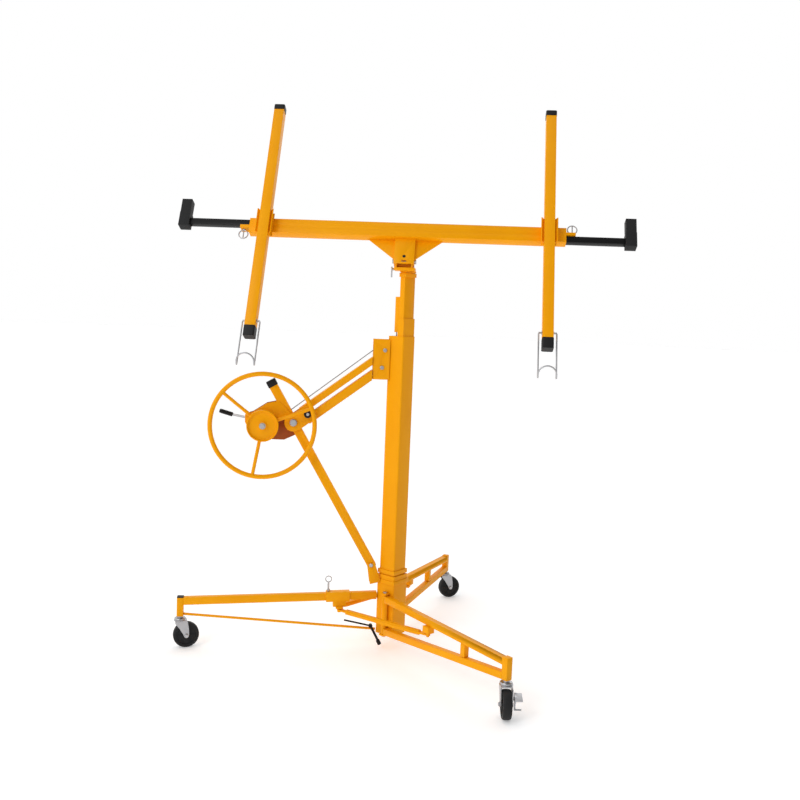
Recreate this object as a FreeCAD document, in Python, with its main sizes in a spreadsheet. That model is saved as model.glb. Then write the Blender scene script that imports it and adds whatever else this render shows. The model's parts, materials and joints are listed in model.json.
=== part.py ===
import FreeCAD, Part
import math
import os

# Rolling drywall lift: tripod base on casters, three-section mast, hand-wheel
# winch on a braced arm, and a tilting cradle. Millimetres, +Z up, +X along the
# crossbar, -Y towards the side the cradle tips to.

Vec, Rot, Pla = FreeCAD.Vector, FreeCAD.Rotation, FreeCAD.Placement
X, Y, Z = Vec(1, 0, 0), Vec(0, 1, 0), Vec(0, 0, 1)

doc = FreeCAD.newDocument("drywall_lift")
sheet = doc.addObject("Spreadsheet::Sheet", "Sizes")

SIZES = {
    # mast
    "mast_side": 76.0, "mast_wall": 3.0, "mast_bottom": 67.0, "mast_top": 1270.0,
    "socket_side": 88.0, "socket_wall": 5.0, "socket_bottom": 61.0, "socket_top": 307.0,
    "second_width": 69.2, "second_depth": 30.0, "second_bottom": 90.0, "second_top": 1340.0,
    "third_width": 64.0, "third_depth": 23.0, "third_bottom": 100.0, "third_top": 1520.0,
    "axis_y": 14.0, "tube_wall": 2.0,
    # cable
    "cable_radius": 2.0, "drum_radius": 18.0, "head_sheave": 25.0, "foot_sheave": 11.8,
    "top_sheave": 19.3,
    # base
    "rail_side": 25.0, "rear_rail_height": 30.0, "rear_reach": 843.0, "front_reach": 730.0,
    "front_angle": 63.0, "post_bottom": 128.0, "post_top": 204.0, "hinge_x": 32.0,
    "hinge_y": 50.0, "hinge_pin_radius": 6.0, "collar_x": 212.0, "link_station": 290.0,
    # casters
    "wheel_radius": 51.0, "wheel_width": 32.0, "caster_trail": 24.0, "axle_radius": 4.0,
    # winch
    "winch_x": 536.0, "winch_z": 906.0, "knuckle_x": 418.0, "knuckle_z": 916.0,
    "rim_radius": 201.0, "rim_wire": 9.0, "disc_radius": 58.0, "strut_side": 34.0,
    "box_x": 66.0, "box_z": 1212.0,
    # cradle
    "tilt": 65.0, "tilt_y": 60.0, "tilt_z": 1560.0, "bar_half": 616.0, "bar_height": 60.0,
    "bar_depth": 40.0, "bar_wall": 2.0, "bar_y": 115.0, "bar_z": 25.0, "arm_x": 549.0,
    "head_turn": -11.0,
    "arm_side": 40.0, "arm_up": 537.0, "arm_down": 490.0, "outrigger_side": 25.0,
    "outrigger_left": 858.0, "outrigger_right": 840.0, "hook_wire": 3.0, "hook_half": 33.0,
    "hook_leg": 180.0, "screw_x": 640.0,
}
ROW = [0]


def put(name, value):
    """Store one size in the sheet and give back the words that read it."""
    ROW[0] += 1
    cell = "A%d" % ROW[0]
    sheet.set(cell, "%.6g" % value)
    sheet.setAlias(cell, name)
    SIZES[name] = float(value)
    return "Sizes." + name


for key in list(SIZES):
    put(key, SIZES[key])
doc.recompute()


def S(name):
    return SIZES[name]


def bind(obj, label, **sizes):
    """Bind each property of a primitive to the sheet."""
    for prop, value in sizes.items():
        if isinstance(value, str):
            text = value
        else:
            text = put("%s_%s" % (label, prop.lower()), value)
            sheet.recompute()
        obj.setExpression(prop, text)
    obj.recompute()
    return obj


COUNT = {}


def fresh(kind, label):
    COUNT[label] = COUNT.get(label, 0) + 1
    name = label if COUNT[label] == 1 else "%s_n%d" % (label, COUNT[label])
    obj = doc.addObject(kind, name)
    obj.Label = name
    return obj, name


def box(label, size, centre, rot=Rot()):
    """Box of the given size about its centre, turned by rot."""
    obj, name = fresh("Part::Box", label)
    bind(obj, name, Length=size[0], Width=size[1], Height=size[2])
    half = Vec(obj.Length.Value, obj.Width.Value, obj.Height.Value) * 0.5
    obj.Placement = Pla(Vec(*centre) - rot.multVec(half), rot)
    return obj


def cyl(label, radius, p0, p1):
    """Cylinder of the given radius from p0 to p1."""
    obj, name = fresh("Part::Cylinder", label)
    a, b = Vec(*p0), Vec(*p1)
    bind(obj, name, Radius=radius, Height=(b - a).Length)
    obj.Placement = Pla(a, Rot(Z, b - a))
    return obj


def cone(label, r0, r1, p0, p1):
    obj, name = fresh("Part::Cone", label)
    a, b = Vec(*p0), Vec(*p1)
    bind(obj, name, Radius1=r0, Radius2=r1, Height=(b - a).Length)
    obj.Placement = Pla(a, Rot(Z, b - a))
    return obj


def ball(label, radius, centre):
    obj, name = fresh("Part::Sphere", label)
    bind(obj, name, Radius=radius)
    obj.Placement = Pla(Vec(*centre), Rot())
    return obj


def ring(label, radius, wire, centre, rot=Rot(), sweep=360.0):
    """Torus, or an arc of one starting on its own +X."""
    obj, name = fresh("Part::Torus", label)
    bind(obj, name, Radius1=radius, Radius2=wire, Angle3=sweep)
    obj.Placement = Pla(Vec(*centre), rot)
    return obj


def taper(label, foot, top, height, thick, base, rot):
    """Flat plate, foot wide at its base and top wide at its far edge, along local Z."""
    obj, name = fresh("Part::Wedge", label)
    bind(obj, name, Xmin=-foot / 2, Xmax=foot / 2, Ymin=0.0, Ymax=height,
         Zmin=-thick / 2, Zmax=thick / 2, X2min=-top / 2, X2max=top / 2,
         Z2min=-thick / 2, Z2max=thick / 2)
    obj.Placement = Pla(Vec(*base), rot.multiply(Rot(X, 90)))
    return obj


def cut(label, base, *tools):
    for tool in tools:
        obj, name = fresh("Part::Cut", label)
        obj.Base, obj.Tool = base, tool
        base = obj
    return base


def fuse(label, *parts):
    obj, name = fresh("Part::MultiFuse", label)
    obj.Shapes = list(parts)
    return obj


def group(label, *parts):
    obj, name = fresh("Part::Compound", label)
    obj.Links = list(parts)
    return obj


def tube(label, width, height, wall, p0, p1, up=Z):
    """Rectangular tube from p0 to p1: width across, height along up."""
    a, b = Vec(*p0), Vec(*p1)
    along = (b - a).normalize()
    side = up.cross(along).normalize()
    rot = Rot(along, side, along.cross(side), "XYZ")
    mid, reach = (a + b) * 0.5, (b - a).Length
    outer = box(label + "_skin", (reach, width, height), mid, rot)
    w, h = outer.Width.Value, outer.Height.Value
    inner = box(label + "_bore", (reach + 20, w - 2 * wall, h - 2 * wall), mid, rot)
    return cut(label, outer, inner)


def sloped(label, width, height, wall, x0, z0, x1, z1):
    """Tube in the XZ plane with both ends cut upright at x0 and x1."""
    slope = (z1 - z0) / (x1 - x0)
    long = tube(label + "_stock", width, height, wall, (x0 - 30, 0, z0 - 30 * slope),
                (x1 + 30, 0, z1 + 30 * slope))
    keep = box(label + "_ends", (x1 - x0, width + 20, 400.0),
               ((x0 + x1) / 2, 0, (z0 + z1) / 2))
    obj, name = fresh("Part::Common", label)
    obj.Base, obj.Tool = long, keep
    return obj


def wire(label, radius, points, closed=False):
    """Round bar through the points with ball corners."""
    pieces = []
    for i in range(len(points) - 1):
        pieces.append(cyl(label + "_run", radius, points[i], points[i + 1]))
    for p in points[1:-1]:
        pieces.append(ball(label + "_bend", radius, p))
    return pieces


def sheave(label, groove, width, bore, centre, axis):
    """Grooved pulley: flat-bottomed groove just wider than the cable, two flanges and a bore."""
    c, n = Vec(*centre), Vec(axis).normalize()
    floor, edge = groove - 0.4, S("cable_radius") + 0.5
    body = fuse(label + "_body",
                cyl(label + "_waist", floor, c - n * edge, c + n * edge),
                cone(label + "_lip", floor + 3, groove + 6, c + n * edge, c + n * (width / 2)),
                cone(label + "_lip", floor + 3, groove + 6, c - n * edge, c - n * (width / 2)))
    hole = cyl(label + "_bore", bore, c - n * width, c + n * width)
    return cut(label, body, hole)


NODES = []
SHIFT = Pla(Vec(0, S("axis_y"), 0), Rot())


def node(label, obj, place=None):
    """Name a finished sub-part and stand it in the common frame."""
    base = place.multiply(obj.Placement) if place else obj.Placement
    obj.Placement = SHIFT.multiply(base)
    obj.Label = label
    NODES.append((label, obj))
    return obj


TURN = Rot(Z, 45)                      # the mast tubes stand on edge to the winch


def mast(p, q, z):
    """Point in the mast: p along the right-front face, q towards the left-back."""
    v = TURN.multVec(Vec(p, q, z))
    return (v.x, v.y, v.z)


# ---------------------------------------------------------------- socket and outer mast
sb, st, ss, sw = S("socket_bottom"), S("socket_top"), S("socket_side"), S("socket_wall")
socket = cut("mast_socket_shell",
             box("socket_skin", ("Sizes.socket_side", "Sizes.socket_side", st - sb),
                 (0, 0, (sb + st) / 2), TURN),
             box("socket_bore", (ss - 2 * sw, ss - 2 * sw, st - sb),
                 (0, 0, (sb + st) / 2 + 6), TURN))
node("mast_socket", socket)

hx, hy = S("hinge_x"), S("hinge_y")
lugs = []
for side in (-1, 1):
    normal = Rot(Z, 180 - side * 45)
    for z in (68.0, 237.0):
        # plate from the socket face round the leg pin
        local = normal.inverted().multVec(Vec(-hx, side * hy, 0))
        mid = normal.multVec(Vec((ss / 2 + local.x + 13) / 2, local.y, z))
        plate = box("lug_plate", (local.x + 13 - ss / 2, 28.0, 6.0), mid, normal)
        hole = cyl("lug_hole", 6.05, (-hx, side * hy, z - 10), (-hx, side * hy, z + 10))
        lugs.append(cut("leg_hinge_lug", plate, hole))
node("leg_hinge_lugs", group("lug_set", *lugs))

mb, mt, ms, mw = S("mast_bottom"), S("mast_top"), S("mast_side"), S("mast_wall")
outer = cut("outer_mast_tube",
            box("outer_skin", ("Sizes.mast_side", "Sizes.mast_side", mt - mb),
                (0, 0, (mb + mt) / 2), TURN),
            box("outer_bore", (ms - 2 * mw, ms - 2 * mw, mt - mb + 20),
                (0, 0, (mb + mt) / 2), TURN),
            box("sheave_window", (30.0, 18.0, 84.0), (-46, 0, S("box_z"))))
node("outer_mast", outer)

# ---------------------------------------------------------------- rear leg (fixed)
rr = S("rear_reach")
REAR0, REAR1 = (-62.4, 217.0), (-(rr - 12.5), 190.0)
rail = sloped("rear_rail", S("rail_side"), S("rear_rail_height"), S("tube_wall"),
              REAR1[0], REAR1[1], REAR0[0], REAR0[1])
tie = cut("rear_tie", cyl("rear_tie_rod", 5.0, (-(rr - 12.3), 0, 136), (-60, 0, 74)),
          box("rear_tie_end", (124.8, 60.0, 60.0), (0, 0, 74)))
post = tube("rear_post", S("rail_side"), S("rail_side"), S("tube_wall"),
            (-rr, 0, S("post_bottom")), (-rr, 0, S("post_top")), up=X)
node("rear_leg", group("rear_leg_set", rail, tie, post))


def rail_z(x):
    """Height of the rear rail's centre line at x."""
    t = (x - REAR0[0]) / (REAR1[0] - REAR0[0])
    return REAR0[1] + t * (REAR1[1] - REAR0[1])


# ---------------------------------------------------------------- winch strut and arm
kx, kz = -S("knuckle_x"), S("knuckle_z")
FOOT = Vec(-84, 0, 338)
along = (Vec(kx, 0, kz) - FOOT).normalize()
TOP = FOOT + along * 830
strut = tube("strut_stock", S("strut_side"), S("strut_side"), S("tube_wall"), FOOT, TOP, up=Y)
wx, wz = -S("winch_x"), S("winch_z")
bx, bz = -S("box_x"), S("box_z")
r1 = S("drum_radius") + S("cable_radius")
r2 = S("head_sheave") + S("cable_radius")
D = math.hypot(bx - wx, bz - wz)
lean = math.atan2(bz - wz, bx - wx) + math.asin((r1 + r2) / D)
u = Vec(math.cos(lean), 0, math.sin(lean))
n = Vec(-math.sin(lean), 0, math.cos(lean))
C0 = Vec(wx, 0, wz) - n * r1
C1 = Vec(bx, 0, bz) + n * r2
slot_mid = C0 + u * 112
strut = cut("strut_tube", strut,
            box("strut_slot", (90.0, 9.0, 16.0), slot_mid, Rot(Y, -math.degrees(lean))),
            cyl("strut_bolt_hole", 7.0, (kx, -40, kz), (kx, 40, kz)),
            cyl("strut_foot_hole", 5.0, (-90, -40, 345), (-90, 40, 345)))
node("winch_strut", strut)

arm_dir = Vec(-113 - kx, 0, 0)
arm_dir.z = arm_dir.x * (1168 - kz) / (-82 - kx)
arm_dir.normalize()
arm_up = Vec(-arm_dir.z, 0, arm_dir.x)
bars = []
for label, off, tall in (("arm_upper", 19.5, 25.0), ("arm_lower", -25.0, 33.0)):
    p0 = Vec(kx, 0, kz) + arm_dir * 50 + arm_up * off
    p1 = Vec(kx, 0, kz) + arm_dir * 430 + arm_up * off
    stock = tube(label + "_stock", 41.0, tall, S("tube_wall"), p0, p1, up=arm_up)
    bars.append(cut(label, stock, box(label + "_end", (200.0, 80.0, 500.0), (-14, 0, 1150))))
for side in (-1, 1):
    y = side * 22.8
    c = Vec(kx, y, kz)
    cheek = fuse("knuckle_cheek",
                 cyl("knuckle_round", 35.0, c - Y * 2, c + Y * 2),
                 box("knuckle_plate", (92.0, 4.0, 66.0), c + arm_dir * 46 - arm_up * 4,
                     Rot(Y, -math.degrees(math.atan2(arm_dir.z, arm_dir.x)))))
    bars.append(cut("knuckle", cheek, cyl("knuckle_hole", 7.0, c - Y * 9, c + Y * 9)))
node("winch_arm", group("winch_arm_set", *bars))

# two bands and the foot bracket that hold the strut to the mast
bands = []
for z, inner, wall, tall in ((320.0, ms + 0.4, 4.0, 16.0), (280.0, ss + 0.4, 3.5, 16.0)):
    bands.append(cut("mast_band",
                     box("band_skin", (inner + 2 * wall, inner + 2 * wall, tall), (0, 0, z), TURN),
                     box("band_bore", (inner, inner, tall + 10), (0, 0, z), TURN)))
for side in (-1, 1):
    cheek = taper("foot_cheek", 46.0, 30.0, 84.0, 3.6, (-70, side * 19.2, 272), Rot(Y, -14))
    small = box("foot_clear", (ss + 8, ss + 8, 200.0), (0, 0, 300), TURN)
    bands.append(cut("foot_bracket", cheek, small,
                     cyl("foot_hole", 5.0, (-90, side * 8, 345), (-90, side * 40, 345))))
node("strut_bracket", group("strut_bracket_set", *bands))

# winch side plates: the front one small, the back one reaching under the drum
FRONT = ((-70, 38), (-70, 8), (-46, -40), (-14, -54), (22, -50), (50, -20), (58, 16), (84, 22),
         (96, -20), (134, -20), (142, 14), (112, 44), (60, 94), (14, 84), (-40, 48))
BACK = ((-70, 38), (-70, 8), (-50, -56), (46, -64), (84, -64), (126, -44), (142, -4),
        (112, 44), (60, 94), (14, 84), (-40, 48))


def winch_plate(label, outline, y, thick):
    """Flat plate with that outline about the wheel's centre, from y to y + thick."""
    path, pn = fresh("Part::Polygon", label + "_outline")
    path.Nodes = [Vec(wx + px, y, wz + pz) for px, pz in outline]
    path.Close = True
    plate, name = fresh("Part::Extrusion", label + "_blank")
    plate.Base, plate.Dir, plate.DirMode = path, Vec(0, thick, 0), "Custom"
    plate.LengthFwd, plate.Solid = thick, True
    return cut(label, plate, cyl(label + "_bore", 8.06, (wx, y - 9, wz), (wx, y + 9, wz)),
               cyl(label + "_hole", 7.0, (kx, y - 9, kz), (kx, y + 9, kz)))


plates = [winch_plate("winch_front", FRONT, -20.7, 3.6)]
LEVER = Vec(wx - 56, 0, wz + 22)
for x, z in ((wx - 46, wz - 15), (LEVER.x, LEVER.z), (wx - 24, wz - 42), (wx + 32, wz + 70)):
    plates.append(cyl("winch_spacer", 6.0, (x, -17.1, z), (x, 17.1, z)))
node("winch_frame", group("winch_frame_set", *plates))
node("winch_backplate", winch_plate("winch_back", BACK, 17.1, 3.6))

# pulley box on the mast's winch-side edge
box_parts = []
for side in (-1, 1):
    y = side * 12.5
    plate = box("box_plate", (66.0, 3.0, 160.0), (-79, y, 1176))
    box_parts.append(cut("box_cheek", plate,
                         box("box_clear", (ms + 0.2, ms + 0.2, 400.0), (0, 0, 1176), TURN),
                         cyl("box_hole", 5.0, (bx, y - 9, bz), (bx, y + 9, bz)),
                         cyl("box_hole", 5.0, (-76, y - 9, 1143), (-76, y + 9, 1143))))
box_parts.append(box("box_back", (3.0, 22.0, 76.0), (-110.4, 0, 1134)))
node("pulley_box", group("pulley_box_set", *box_parts))


def bolt(label, shank, head, p0, p1, grip=7.0):
    """Bolt along p0-p1 with a hexagon-sized head and nut outside both ends."""
    a, b = Vec(*p0), Vec(*p1)
    d = (b - a).normalize()
    return fuse(label, cyl(label + "_shank", shank, a, b),
                cyl(label + "_head", head, a - d * grip, a),
                cyl(label + "_nut", head, b, b + d * grip))


bolts = [
    bolt("knuckle_bolt", 6.95, 15.0, (kx, -24.9, kz), (kx, 24.9, kz), 9.0),
    bolt("box_axle", 4.95, 8.0, (bx, -14.1, bz), (bx, 14.1, bz), 5.0),
    bolt("box_bolt", 4.95, 8.0, (-76, -14.1, 1143), (-76, 14.1, 1143), 5.0),
    bolt("foot_bolt", 4.95, 8.0, (-90, -21.1, 345), (-90, 21.1, 345), 5.0),
]
for side in (-1, 1):
    bolts.append(bolt("leg_pin", 5.95, 9.5, (-hx, side * hy, 64.9), (-hx, side * hy, 240.1), 5.0))
node("frame_bolts", group("frame_bolts_set", *bolts))

cap = box("strut_cap_block", (38.0, 38.0, 26.0), TOP + along * 13, Rot(Z, along))
cap2 = box("rear_post_cap", (25.0, 25.0, 4.0), (-rr, 0, S("post_top") + 2))
node("base_caps", group("base_caps_set", cap, cap2))

# ---------------------------------------------------------------- cable
cr = S("cable_radius")
arc = math.degrees(math.atan2(C1.z - bz, C1.x - bx))
span = fuse("cable_run", cyl("cable_straight", cr, C0, C1),
            ring("cable_over_box", r2, cr, (bx, 0, bz), Rot(X, 90), arc))
node("winch_cable", span)
foot_z, top_z = 108.0, 1400.0
drop_x, drop_y = bx + r2, 0.0
DROP = TURN.inverted().multVec(Vec(drop_x, drop_y, 0))
rb = (0 - DROP.x) / 2
node("mast_cable", cyl("cable_drop", cr, (drop_x, drop_y, foot_z + 1), (drop_x, drop_y, bz)))

# ---------------------------------------------------------------- handwheel, drum and disc
parts = [ring("wheel_rim", "Sizes.rim_radius", "Sizes.rim_wire", (wx, -62, wz), Rot(X, 90))]
for ang in (141.0, 260.0, 21.0):
    d = Vec(math.cos(math.radians(ang)), 0, math.sin(math.radians(ang)))
    c = Vec(wx, 0, wz)
    parts.append(cyl("wheel_spoke", 7.0, c + d * 10 - Y * 48, c + d * S("rim_radius") - Y * 62))
parts.append(cyl("wheel_hub", 24.0, (wx, -65, wz), (wx, -36, wz)))
node("handwheel", fuse("handwheel_body", *parts))
back = cut("disc_back", cyl("disc_back_plate", 61.0, (wx, -40.5, wz), (wx, -37.5, wz)),
           cyl("disc_back_hole", 24.0, (wx, -50, wz), (wx, -30, wz)))
disc = fuse("disc_body",
            cyl("disc_plate", "Sizes.disc_radius", (wx, -69, wz), (wx, -65, wz)),
            cyl("disc_boss", 16.0, (wx, -78, wz), (wx, -69, wz)),
            ring("disc_lip", S("disc_radius") - 3, 3.0, (wx, -69, wz), Rot(X, 90)))
node("brake_disc", group("brake_disc_set", disc, back))
drum = [
    cyl("drum_barrel", "Sizes.drum_radius", (wx, -13, wz), (wx, 13, wz)),
    cyl("drum_flange", 40.0, (wx, -16, wz), (wx, -13, wz)),
    cyl("drum_flange", 40.0, (wx, 13, wz), (wx, 16, wz)),
    cyl("drum_shaft", 8.0, (wx, -36, wz), (wx, 30, wz)),
]
node("winch_drum", fuse("winch_drum_body", *drum))
coils = [ring("cable_coil", r1, cr, (wx, y, wz), Rot(X, 90)) for y in (-9.0, -4.4, 4.4, 9.0)]
node("drum_cable", group("drum_cable_set", *coils))

# brake lever behind the wheel, and the pull knob on the arm
lever = cut("brake_rod",
            fuse("brake_rod_body", cyl("brake_eye", 12.0, LEVER - Y * 10, LEVER + Y * 10),
                 cyl("brake_shank", 5.0, LEVER, LEVER + Vec(-62, 0, 11))),
            cyl("brake_bore", 6.05, LEVER - Y * 20, LEVER + Y * 20))
node("brake_lever", lever)
node("brake_grip", cyl("brake_grip_sleeve", 9.0, LEVER + Vec(-62.8, 0, 11.2),
                          LEVER + Vec(-114, 0, 26)))
KN = Vec(kx, 0, kz) + arm_dir * 66 - arm_up * 4
knob = fuse("knob_body", cyl("knob_head", 15.0, KN - Y * 46, KN - Y * 32),
            cyl("knob_neck", 7.0, KN - Y * 32.5, KN - Y * 24.8))
node("release_knob", knob)

node("box_sheave", sheave("box_wheel", S("head_sheave"), 14.0, 5.0, (bx, 0, bz), Y))

# ---------------------------------------------------------------- second mast section
def channel(label, width, depth, wall, slot, q0, z0, z1):
    """Lipped channel open towards the left-back: web at q0, lips at q0 + depth."""
    zc, tall = (z0 + z1) / 2, z1 - z0
    skin = box(label + "_skin", (width, depth, tall), mast(0, q0 + depth / 2, zc), TURN)
    bore = box(label + "_bore", (width - 2 * wall, depth - 2 * wall, tall + 20),
               mast(0, q0 + depth / 2, zc), TURN)
    gap = box(label + "_gap", (slot, 3 * wall, tall + 20), mast(0, q0 + depth, zc), TURN)
    return cut(label, skin, bore, gap)


second = channel("second_channel", S("second_width"), S("second_depth"), 2.2, 44.0, -34.0,
                 S("second_bottom"), S("second_top"))
node("second_mast", second)
PIN_P = (DROP.x + 0) / 2
foot = cut("foot_block",
           box("foot_body", (64.0, 22.0, 50.0), mast(0, 7.2, 105), TURN))
cheek = fuse("foot_cheek_plate",
             box("foot_plate", (30.0, 3.0, 60.0), mast(PIN_P, 19.7, 108), TURN),
             cyl("foot_axle", 3.0, mast(PIN_P, 19.7, foot_z), mast(PIN_P, 33.6, foot_z)))
tops = []
for side in (-1, 1):
    plate = box("top_cheek", (3.0, 34.0, 140.0), mast(side * 9.5, 13.2, 1355), TURN)
    tops.append(cut("top_cheek_cut", plate,
                    cyl("top_hole", 4.0, mast(side * 5, 6.3, top_z), mast(side * 14, 6.3, top_z))))
tops.append(bolt("top_axle", 3.96, 7.0, mast(-11.1, 6.3, top_z), mast(11.1, 6.3, top_z), 4.0))
for side in (-1, 1):
    tops.append(box("top_foot", (11.0, 3.0, 44.0), mast(side * 16.6, -2.4, 1315), TURN))
node("second_mast_fittings", group("second_fittings_set", foot, cheek, *tops))
line = [
    cyl("rise_straight", cr, mast(0, DROP.y, foot_z), mast(0, DROP.y, top_z)),
    ring("rise_foot", rb, cr, mast(DROP.x / 2, DROP.y, foot_z),
         TURN.multiply(Rot(X, -90)), 180.0),
]
rt = S("top_sheave") + cr
QD = DROP.y - 2 * rt
line.append(ring("rise_top", rt, cr, mast(0, DROP.y - rt, top_z),
                 TURN.multiply(Rot(Z, 90)).multiply(Rot(X, 90)), 180.0))
node("second_mast_cable", fuse("second_cable_run", *line))
node("foot_sheave", sheave("foot_wheel", rb - cr, 10.0, 3.05, mast(DROP.x / 2, DROP.y, foot_z),
                           TURN.multVec(Y)))
node("top_sheave", sheave("top_wheel", S("top_sheave"), 10.0, 4.02,
                          mast(0, DROP.y - rt, top_z), TURN.multVec(X)))

# ---------------------------------------------------------------- third mast section and head
third = channel("third_channel", S("third_width"), S("third_depth"), 2.0, 31.0, -30.5,
                S("third_bottom"), S("third_top"))
anchor = box("cable_anchor", (16.0, 16.0, 24.0), mast(0, -20.4, 118), TURN)
PIN = Vec(*mast(0, -19, 0))
collar_mid = mast(0, -19, 1510)
plug = [
    cut("top_collar", box("top_collar_skin", (69.0, 32.0, 16.0), collar_mid, TURN),
        box("top_collar_bore", (64.4, 23.4, 40.0), collar_mid, TURN),
        box("top_collar_gap", (34.0, 12.0, 40.0), mast(0, -4, 1510), TURN)),
    fuse("swivel_plug", box("swivel_plate", (66.0, 30.0, 5.0), PIN + Vec(0, 0, 1522.6), TURN),
         cyl("swivel_pin", 9.94, PIN + Vec(0, 0, 1522), PIN + Vec(0, 0, 1538)),
         cyl("swivel_cap", 14.0, PIN + Vec(0, 0, 1537.9), PIN + Vec(0, 0, 1541.9))),
]
node("third_mast", group("third_mast_set", third, anchor, *plug))
node("third_mast_cable", cyl("third_cable_run", cr, mast(0, QD, 130), mast(0, QD, top_z)))

ty, tz = -S("tilt_y"), S("tilt_z")
HEAD = Pla(Vec(), Rot(Z, S("head_turn")), PIN)
head = [cut("head_plate_drilled", box("head_plate", (80.0, 84.0, 12.0), (2, -34, 1531.4)),
            cyl("head_pin_hole", 10.0, PIN + Vec(0, 0, 1500), PIN + Vec(0, 0, 1560)),
            cyl("latch_pin_hole", 5.0, (-60, ty + 30, 1531), (-33, ty + 30, 1531)))]
for side in (-1, 1):
    x = side * 31.0
    ear = fuse("head_ear",
               box("head_ear_leg", (6.0, 36.0, 22.4), (x, ty, 1548.7)),
               cyl("head_ear_round", 18.0, (x - 3, ty, tz), (x + 3, ty, tz)))
    head.append(cut("head_lug", ear, cyl("head_hole", 6.0, (x - 9, ty, tz), (x + 9, ty, tz))))
head.append(box("head_web", (56.0, 5.0, 26.0), (0, ty + 14, 1550.5)))
node("head_bracket", group("head_bracket_set", *head), HEAD)
node("tilt_bolt", bolt("tilt_bolt_body", 5.95, 9.5, (-39.6, ty, tz), (39.6, ty, tz), 7.0), HEAD)

# ---------------------------------------------------------------- cradle, in its level frame
CRADLE = HEAD.multiply(Pla(Vec(0, ty, tz), Rot(X, S("tilt"))))
by, bzz, bh, bd = S("bar_y"), S("bar_z"), S("bar_height"), S("bar_depth")
half = S("bar_half")
crossbar = tube("crossbar_stock", bh, bd, S("bar_wall"), (-half, by, bzz), (half, by, bzz), up=Z)
SCREW_X = S("screw_x")
crossbar = cut("crossbar_tube", crossbar,
               cyl("arm_hole_left", 8.1, (-S("arm_x"), by, bzz + 10), (-S("arm_x"), by, bzz + 30)),
               cyl("arm_hole_right", 8.1, (S("arm_x"), by, bzz + 10), (S("arm_x"), by, bzz + 30)))
for side in (-1, 1):
    # nut block beside the outrigger bar, welded to the end of the crossbar
    edge = by - side * 13.6 + side * S("outrigger_side") / 2
    nut = cut("screw_nut", box("screw_nut_block", (36.0, 11.2, bd),
                               (side * (half + 18), edge + side * 6.9, bzz)),
              cyl("screw_nut_hole", 4.06, (side * SCREW_X, edge, bzz),
                  (side * SCREW_X, edge + side * 20, bzz)))
    crossbar = fuse("crossbar_with_nut", crossbar, nut)
node("crossbar", crossbar, CRADLE)

ylow = by - bh / 2
web = [
    box("yoke_web", (79.0, ylow + 22.0, 4.0), (0, (ylow - 22.0) / 2, 27)),
    cut("yoke_gussets",
        taper("yoke_gusset", 80.0, 292.0, 84.0, 4.0, (0, ylow - 84, 12.5), Rot(X, -90)),
        box("yoke_gusset_gap", (70.0, 300.0, 20.0), (0, 0, 12.5))),
]
for side in (-1, 1):
    x = side * 37.0
    wall = box("yoke_side", (4.6, ylow + 18.0, 37.0), (x, (ylow - 18.0) / 2, 6.6))
    web.append(cut("yoke_cheek", wall, cyl("yoke_hole", 6.0, (x - 9, 0, 0), (x + 9, 0, 0))))
yoke = fuse("yoke_body", *web)
yoke = cut("yoke_drilled", yoke, cyl("yoke_port", 6.5, (0, 8, 20), (0, 8, 34)),
           box("yoke_slot", (20.0, 8.0, 14.0), (0, -12, 27)))
node("cradle_yoke", yoke, CRADLE)

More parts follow.
